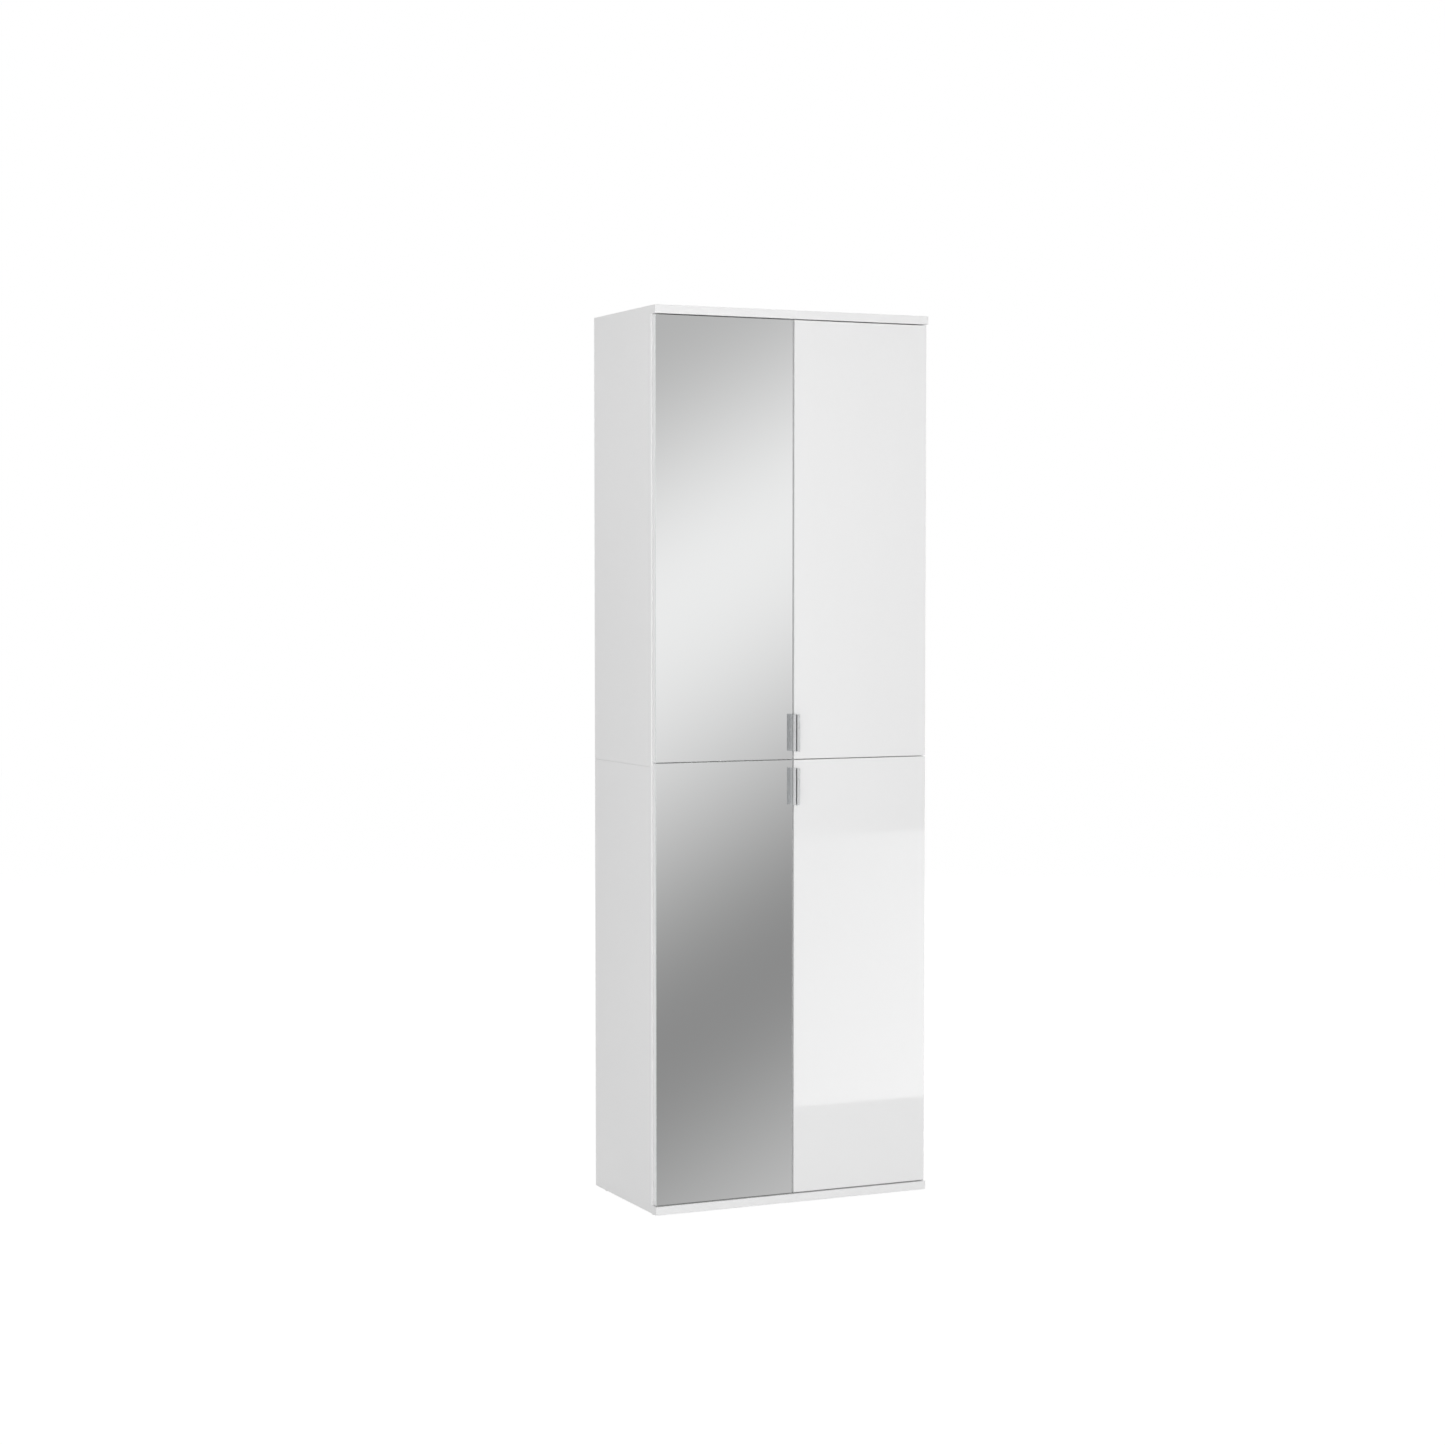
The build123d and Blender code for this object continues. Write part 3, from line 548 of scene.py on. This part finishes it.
def cross_outline(radius):
    """Twelve points: each arm has two outer corners and the inner corner that comes next."""
    reach = CROSS_REACH * radius
    half = CROSS_HALF_WIDTH * radius
    arm = (Vector((reach, -half, 0)), Vector((reach, half, 0)), Vector((half, half, 0)))
    return [Matrix.Rotation(radians(90 * k), 3, "Z") @ corner for k in range(4) for corner in arm]


def cross_cutter(heads):
    cutter = bmesh.new()
    for centre, outward, radius in heads:
        turn = outward.to_track_quat("Z", "Y").to_matrix()
        rings = []
        for height, scale in ((CROSS_START, 1.0), (-CROSS_DEPTH * radius, CROSS_TAPER)):
            up = Vector((0, 0, height))
            outline = [centre + turn @ (scale * p + up) for p in cross_outline(radius)]
            rings.append([cutter.verts.new(p) for p in outline])
        for ring in rings:
            inner_corners = ring[2::3]
            cutter.faces.new(inner_corners)
            for k in range(4):
                cutter.faces.new([ring[3 * k + step] for step in (-1, 0, 1, 2)])
        top, bottom = rings
        for i in range(len(top)):
            cutter.faces.new((top[i - 1], top[i], bottom[i], bottom[i - 1]))
    bmesh.ops.recalc_face_normals(cutter, faces=cutter.faces)
    return cutter


print("a cross is", CROSS_DEPTH, "of its head's radius deep")

# %% Cut the crosses of one group
# Edges that turn by more than this stay sharp.
SHARP_ANGLE = radians(30)


def mesh_object(name, shell):
    mesh = bpy.data.meshes.new(name)
    shell.to_mesh(mesh)
    shell.free()
    return put_in_scene(name, mesh)


def cut_with(cutter, piece):
    cut = piece.modifiers.new("crosses", "BOOLEAN")
    cut.object = cutter
    depsgraph = bpy.context.evaluated_depsgraph_get()
    whole = welded(bpy.data.meshes.new_from_object(piece.evaluated_get(depsgraph)))
    for face in whole.faces:
        face.smooth = True
    for edge in whole.edges:
        edge.smooth = edge.calc_face_angle(0.0) < SHARP_ANGLE
    piece.modifiers.clear()
    whole.to_mesh(piece.data)
    whole.free()


def cut_crosses(node, body, shows=lambda centre, outward: True):
    shell = welded(parts[node].data)
    ends = [end for solid in separate_solids(shell) for end in widest_ends(solid)]
    heads = [(centre, outward, radius) for centre, outward, radius in ends if shows(centre, outward)]
    cutter = mesh_object("cross_cutter", cross_cutter(heads))
    piece = mesh_object(node + "_crossed", shell)
    cut_with(cutter, piece)
    bpy.data.objects.remove(cutter)
    piece.data.materials.append(parts[node].material_slots[0].material)
    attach(piece, body)
    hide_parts(node)
    print(piece.name, "has", len(heads), "crosses")


# %% Cut all the groups
def on_board_face(centre, outward):
    """A cam shows towards the middle of its column, or downwards under a mid panel."""
    column_middle = (cad_box[1][0] if centre.x > 0 else cad_box[0][0]) / 2
    return outward.z < 0 or outward.x * (column_middle - centre.x) > 0


cut_crosses("cam_locks", "carcass", on_board_face)
cut_crosses("panel_screws", "carcass")
cut_crosses("column_connectors", "carcass")
for door in ("lower_left_door", "lower_right_door", "upper_left_door", "upper_right_door"):
    cut_crosses(door.replace("_door", "_pull_screws"), door + "_body")

# %% [markdown]
# ## Floor and background
# The photograph has a pure white ground. The floor is white too, and most of what the camera sees of it
# is an even white. The rest is lit as a real floor is, which keeps a faint shadow at the foot of the
# cabinet. The world is white for the camera and for reflections, and a softer white as a lamp.

# %% Floor
FLOOR_SIDE = 30.0
FLOOR_COLOUR = (0.9, 0.9, 0.9, 1.0)
FLOOR_ROUGHNESS = 0.9
EVEN_WHITE = 1.06
EVEN_SHARE = 0.90


def flat_sheet(name, width, height, finish):
    """A sheet about the origin."""
    half_w = width / 2
    half_h = height / 2
    corners = [(-half_w, -half_h, 0), (half_w, -half_h, 0), (half_w, half_h, 0), (-half_w, half_h, 0)]
    mesh = bpy.data.meshes.new(name)
    mesh.from_pydata(corners, [], [(0, 1, 2, 3)])
    mesh.materials.append(finish)
    sheet = put_in_scene(name, mesh)
    return sheet


floor_white, tree, shader = start_finish("floor_white")
shader.inputs["Base Color"].default_value = FLOOR_COLOUR
shader.inputs["Roughness"].default_value = FLOOR_ROUGHNESS
even_white = add_node(tree, "ShaderNodeEmission")
even_white.inputs["Strength"].default_value = EVEN_WHITE
rays = add_node(tree, "ShaderNodeLightPath")
share = add_node(tree, "ShaderNodeMath", operation="MULTIPLY")
share.inputs[1].default_value = EVEN_SHARE
tree.links.new(rays.outputs["Is Camera Ray"], share.inputs[0])
both = add_node(tree, "ShaderNodeMixShader")
tree.links.new(share.outputs["Value"], both.inputs["Fac"])
tree.links.new(shader.outputs["BSDF"], both.inputs[1])
tree.links.new(even_white.outputs["Emission"], both.inputs[2])
tree.links.new(both.outputs["Shader"], tree.nodes["Material Output"].inputs["Surface"])
floor = flat_sheet("floor", FLOOR_SIDE, FLOOR_SIDE, floor_white)
floor.visible_glossy = False
print("floor of", FLOOR_SIDE, "m laid")

# %% World
WORLD_AS_LAMP = 0.45
WORLD_AS_SEEN = 1.0

world = bpy.data.worlds.new("white_studio")
bpy.context.scene.world = world
world.use_nodes = True
tree = world.node_tree
sky = tree.nodes["Background"]
sky.inputs["Color"].default_value = (1, 1, 1, 1)
rays = add_node(tree, "ShaderNodeLightPath")
seen_or_mirrored = add_node(tree, "ShaderNodeMath", operation="MAXIMUM")
tree.links.new(rays.outputs["Is Camera Ray"], seen_or_mirrored.inputs[0])
tree.links.new(rays.outputs["Is Glossy Ray"], seen_or_mirrored.inputs[1])
seen_at_all = add_node(tree, "ShaderNodeMath", operation="MAXIMUM")
tree.links.new(seen_or_mirrored.outputs["Value"], seen_at_all.inputs[0])
tree.links.new(rays.outputs["Is Transmission Ray"], seen_at_all.inputs[1])
level = add_node(tree, "ShaderNodeMapRange")
level.inputs["To Min"].default_value = WORLD_AS_LAMP
level.inputs["To Max"].default_value = WORLD_AS_SEEN
tree.links.new(seen_at_all.outputs["Value"], level.inputs["Value"])
tree.links.new(level.outputs["Result"], sky.inputs["Strength"])
print("world lights with", WORLD_AS_LAMP, "and is seen as", WORLD_AS_SEEN)

# %% [markdown]
# ## Lamps
# The photograph has hardly any shadow: what the lens sees is lit, even in the narrow gaps round the
# doors. So the main lamp hangs at the lens. A weaker one lifts the left side, and the ones behind and
# above are for other views. Reflections leave the lamps out, because cards are made for them below.

# %% Lamps
def soft_lamp(name, place, aim, size, watts):
    data = bpy.data.lights.new(name, "AREA")
    data.shape = "DISK"
    data.size = size
    data.energy = watts
    lamp = put_in_scene(name, data)
    lamp.location = place
    lamp.rotation_euler = (Vector(aim) - Vector(place)).to_track_quat("-Z", "Y").to_euler()
    lamp.visible_glossy = False
    print(name, "at", [round(v, 2) for v in place], watts, "W")


soft_lamp("lens_lamp", camera.location, aim=(0.0, 0.0, 0.95), size=1.6, watts=188.0)
soft_lamp("side_lamp", (-5.0, 0.5, 1.6), aim=(0.0, 0.0, 0.8), size=2.0, watts=20.5)
soft_lamp("back_lamp", (3.0, 5.5, 2.6), aim=(0.0, 0.0, 1.0), size=2.5, watts=110.0)
soft_lamp("top_lamp", (0.0, 0.2, 4.4), aim=(0.0, 0.2, 0.0), size=0.8, watts=14.0)

# %% [markdown]
# ## Reflection cards
# The mirrors only look like mirrors when they have something to show. A product photographer stands a
# grey graded card in front of them, and here it leans, so that its bands run across the glass at a
# slant. A card like it stands behind, on the left, for the mirrors of open doors. A brighter card is
# low on the right, where only the gloss doors show it to the lens. The cards are seen in reflections
# and nowhere else.

# %% Cards that only reflections see
STANDING = Matrix.Rotation(radians(90), 4, "X")


def glowing(name):
    """A material that only shines, its node tree and the node that shines."""
    finish, tree, shader = start_finish(name)
    tree.nodes.remove(shader)
    glow = add_node(tree, "ShaderNodeEmission")
    tree.links.new(glow.outputs["Emission"], tree.nodes["Material Output"].inputs["Surface"])
    return finish, tree, glow


def reflection_card(name, width, height, finish, place):
    card = flat_sheet(name, width, height, finish)
    card.matrix_world = place
    card.visible_camera = False
    card.visible_diffuse = False
    card.visible_transmission = False
    card.visible_volume_scatter = False
    card.visible_shadow = False
    print(name, round(width, 2), "by", round(height, 2), "m")


# %% A grey graded finish
CARD_HEIGHT = 8.0
# Metres from the middle of the card, and the brightness there.
TONES = ((-2.9, 0.92), (-1.56, 0.60), (-0.577, 0.277), (0.651, 0.885), (1.472, 0.478))
# A ramp runs from 0 at the foot of the card to 1 at its top.
RAMP_MIDDLE = 0.5

card_grey, tree, glow = glowing("graded_card")
where = add_node(tree, "ShaderNodeTexCoord")
split = add_node(tree, "ShaderNodeSeparateXYZ")
tree.links.new(where.outputs["Generated"], split.inputs["Vector"])
bands = add_node(tree, "ShaderNodeValToRGB")
stops = bands.color_ramp.elements
bands.color_ramp.interpolation = "EASE"
while len(stops) < len(TONES):
    stops.new(RAMP_MIDDLE)
for stop, (height, tone) in zip(stops, TONES):
    stop.position = height / CARD_HEIGHT + RAMP_MIDDLE
    stop.color = (tone, tone, tone, 1.0)
tree.links.new(split.outputs["Y"], bands.inputs["Fac"])
tree.links.new(bands.outputs["Color"], glow.inputs["Color"])
print("made", card_grey.name, "with", len(stops), "tones")

# %% The graded cards for the mirrors
CARD_WIDTH = 14.0
CARD_CENTRE = (1.0, -3.0, 0.575)
SIDE_CARD_WIDTH = 11.0
SIDE_CARD_CENTRE = (-2.15, 2.0, 0.575)
LEANING = Matrix.Rotation(-radians(29.9), 4, "Y")
DIAGONAL = Matrix.Rotation(radians(45), 4, "Z")

in_front = Matrix.Translation(CARD_CENTRE) @ LEANING @ STANDING
reflection_card("graded_card", CARD_WIDTH, CARD_HEIGHT, card_grey, in_front)
behind_left = Matrix.Translation(SIDE_CARD_CENTRE) @ DIAGONAL @ LEANING @ STANDING
reflection_card("side_card", SIDE_CARD_WIDTH, CARD_HEIGHT, card_grey, behind_left)

# %% The bright card for the gloss doors
LEFT = 1.3606
RIGHT = 2.30
LOW = -0.3617
HIGH = 0.5285
FRONT = -2.95
# The brightness at the lower left corner, and what it gains up to the right edge and up to the top.
CORNER_STRENGTH = 2.3
STRENGTH_GAIN = (2.2, -1.5, 0.0)

bright_white, tree, glow = glowing("bright_card")
where = add_node(tree, "ShaderNodeTexCoord")
gain = add_node(tree, "ShaderNodeVectorMath", operation="DOT_PRODUCT")
gain.inputs[1].default_value = STRENGTH_GAIN
tree.links.new(where.outputs["Generated"], gain.inputs[0])
strength = add_node(tree, "ShaderNodeMath", operation="ADD")
strength.inputs[1].default_value = CORNER_STRENGTH
tree.links.new(gain.outputs["Value"], strength.inputs[0])
tree.links.new(strength.outputs["Value"], glow.inputs["Strength"])
low_right = Matrix.Translation(((LEFT + RIGHT) / 2, FRONT, (LOW + HIGH) / 2)) @ STANDING
reflection_card("bright_card", RIGHT - LEFT, HIGH - LOW, bright_white, low_right)

# %% [markdown]
# ## Finish
# The Standard view shows colours about as they are written.

# %% Set the view
bpy.context.scene.view_settings.view_transform = "Standard"
